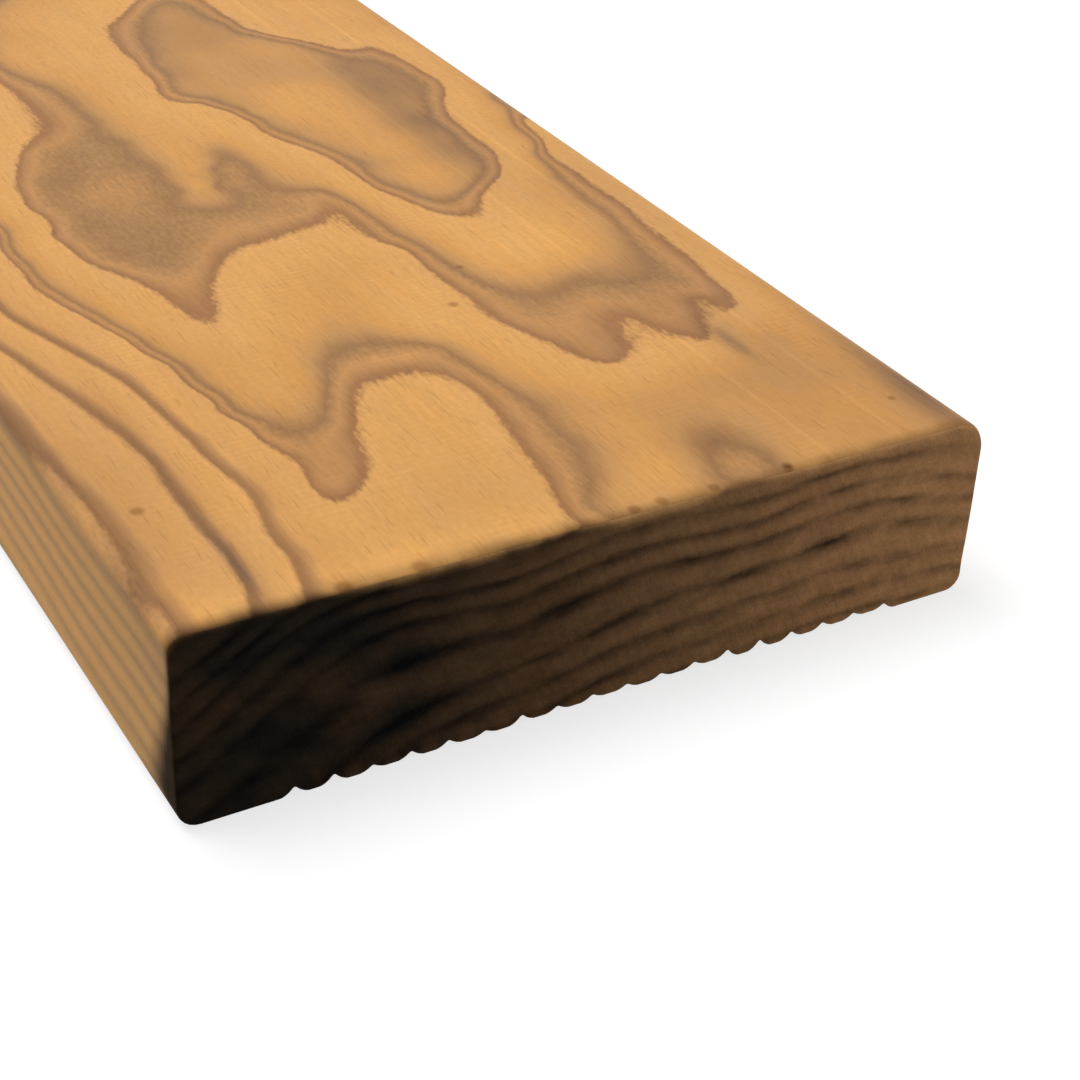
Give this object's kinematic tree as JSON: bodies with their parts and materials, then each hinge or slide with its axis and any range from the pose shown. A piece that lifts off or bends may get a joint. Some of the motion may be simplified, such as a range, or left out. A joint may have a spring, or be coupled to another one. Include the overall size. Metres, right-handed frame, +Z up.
{
  "type": "decking board",
  "caption": "Long flat softwood board with rounded arrises, a smooth tread face and a finely reeded underside between two plain margins.",
  "frame": {"origin": "middle of the underside, level with the rib crests, at half the width and half the length", "axes": "+X across the width, +Y along the length away from the end seen in the picture, +Z up to the smooth tread face"},
  "size_m": [0.12, 1.8, 0.028],
  "materials": {
    "brown_treated_pine": "planed softwood, pressure treated brown, satin on the faces and dark and rough on the sawn end grain"
  },
  "bodies": {
    "root": {"board": "brown_treated_pine"}
  },
  "joints": []
}
